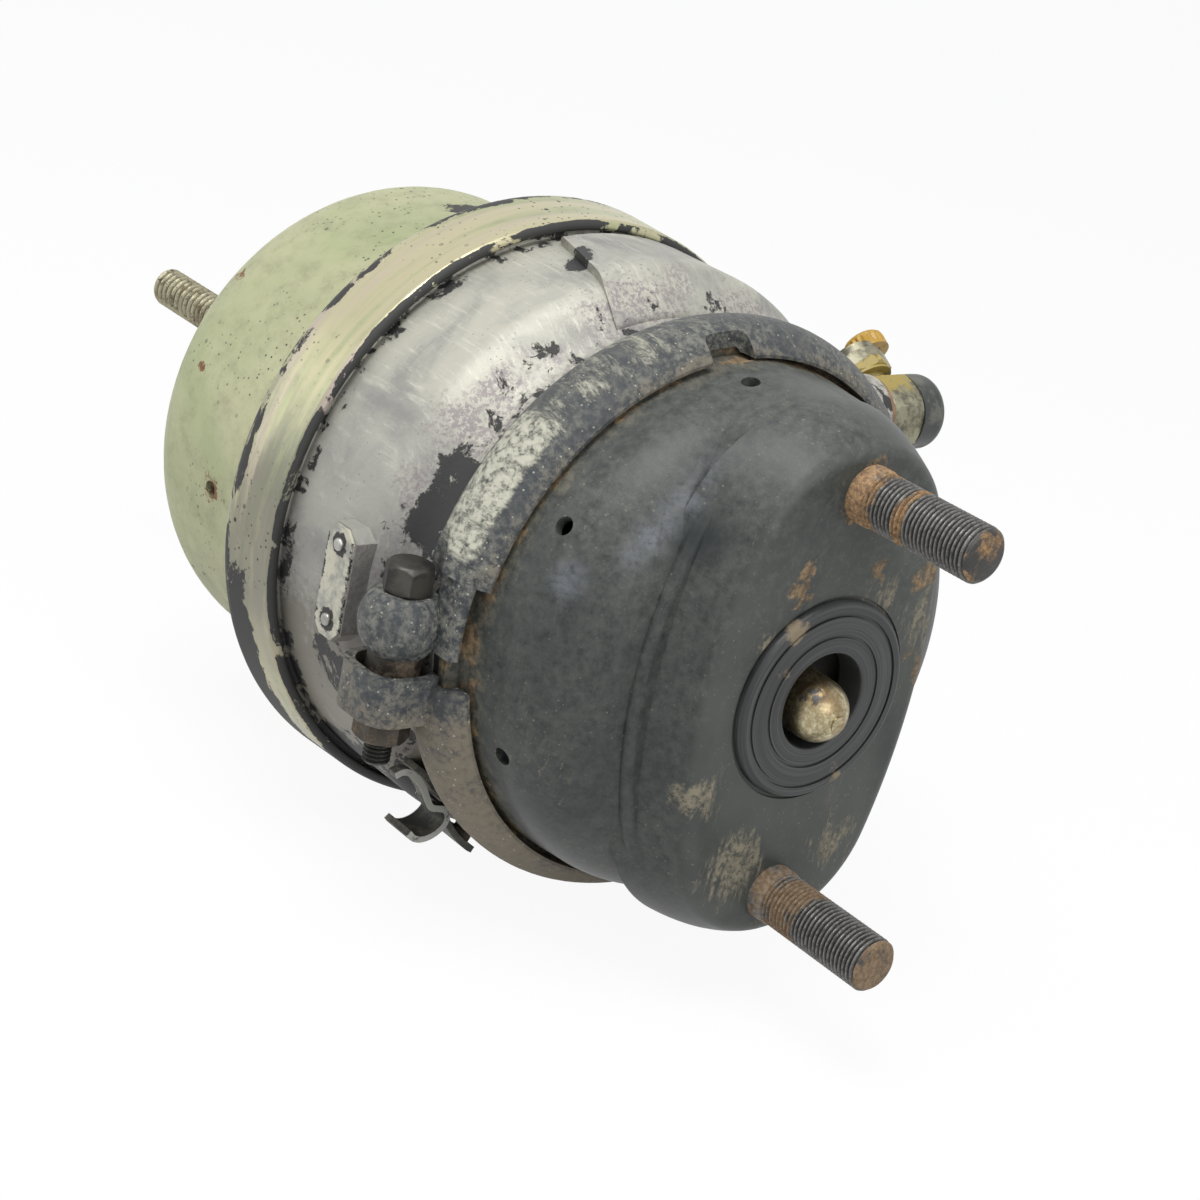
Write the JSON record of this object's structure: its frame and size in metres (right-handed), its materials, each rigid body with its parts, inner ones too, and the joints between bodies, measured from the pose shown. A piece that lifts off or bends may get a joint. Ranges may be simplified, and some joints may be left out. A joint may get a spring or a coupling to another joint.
{
  "type": "air brake chamber",
  "caption": "Double-diaphragm service and spring brake chamber for a disc brake: oval-nosed steel bowl, cast flange casing and drawn cup joined by a clamp ring, with the release bolt wound out.",
  "frame": {"origin": "centre of the flat mounting land at the front of the service housing, midway between the two mounting studs", "axes": "+X is the push direction out of the mounting land, +Z runs along the line of the two mounting studs, +Y is the side of the air ports"},
  "size_m": [0.406, 0.2184, 0.193],
  "materials": {
    "bowl_paint": "dark satin",
    "rusty_steel": "rusted",
    "black_rubber": "matte",
    "zinc_steel": "zinc plated",
    "rod_steel": "yellow chromate",
    "spring_paint": "satin",
    "cast_aluminium": "as cast",
    "black_plastic": "moulded",
    "cup_chromate": "yellow chromate",
    "plate_steel": "pressed",
    "bolt_olive": "olive chromate",
    "clamp_paint": "dusty satin",
    "copper": "soft copper",
    "pale_brass": "plated",
    "yellow_plastic": "moulded",
    "brass": "machined",
    "cream_plate": "worn paint"
  },
  "bodies": {
    "chamber": {"service_housing": "bowl_paint", "mounting_studs": "rusty_steel", "face_seal": "black_rubber", "dust_boot": "black_rubber", "return_spring": "spring_paint", "service_diaphragm": "black_rubber", "flange_casing": "cast_aluminium", "centre_bush": "black_plastic", "tube_seal": "black_rubber", "seal_retainer": "zinc_steel", "spring_housing": "cup_chromate", "parking_diaphragm": "black_rubber", "release_washer": "zinc_steel", "power_spring": "spring_paint", "adapter_spring": "zinc_steel", "clamp_upper": "clamp_paint", "clamp_lower": "clamp_paint", "clamp_bolts": "rusty_steel", "clamp_nuts": "rusty_steel", "clamp_sleeves": "zinc_steel", "port_washers": "copper", "service_fitting": "pale_brass", "fitting_cap": "black_plastic", "elbow_collet": "yellow_plastic", "parking_fitting": "brass", "nameplate": "cream_plate", "nameplate_rivets": "zinc_steel", "hose_clip": "clamp_paint", "clip_rivet": "rusty_steel"},
    "spring_plate_group": {"spring_plate": "plate_steel", "plate_guide_ring": "black_plastic", "release_bolt": "bolt_olive", "adapter_plate": "plate_steel", "push_tube": "zinc_steel", "tube_cap": "black_plastic"},
    "release_nut": {"release_nut": "zinc_steel"},
    "push_plate": {"push_plate": "zinc_steel"},
    "pushrod": {"pushrod": "rod_steel"}
  },
  "joints": [
    {"name": "spring_plate_slide", "type": "slide", "parent": "chamber", "child": "spring_plate_group", "axis": [1, 0, 0], "range_m": [0, 0.057], "deforming": ["power_spring", "parking_diaphragm", "adapter_spring"]},
    {"name": "release_nut_turn", "type": "hinge", "parent": "chamber", "child": "release_nut", "pos_m": [-0.2476, 0, 0], "axis": [-1, 0, 0], "range_deg": [0, 6840]},
    {"name": "push_plate_slide", "type": "slide", "parent": "chamber", "child": "push_plate", "axis": [1, 0, 0], "range_m": [0, 0.057], "deforming": ["return_spring", "service_diaphragm", "dust_boot"]},
    {"name": "pushrod_swing", "type": "hinge", "parent": "push_plate", "child": "pushrod", "pos_m": [-0.07, 0, 0], "axis": [0, -1, 0], "range_deg": [0, 5]}
  ],
  "couplings": [
    {"joint": "release_nut_turn", "follows": "spring_plate_slide", "rad_per_m": 2094.4},
    {"joint": "push_plate_slide", "follows": "spring_plate_slide", "ratio": 1}
  ]
}
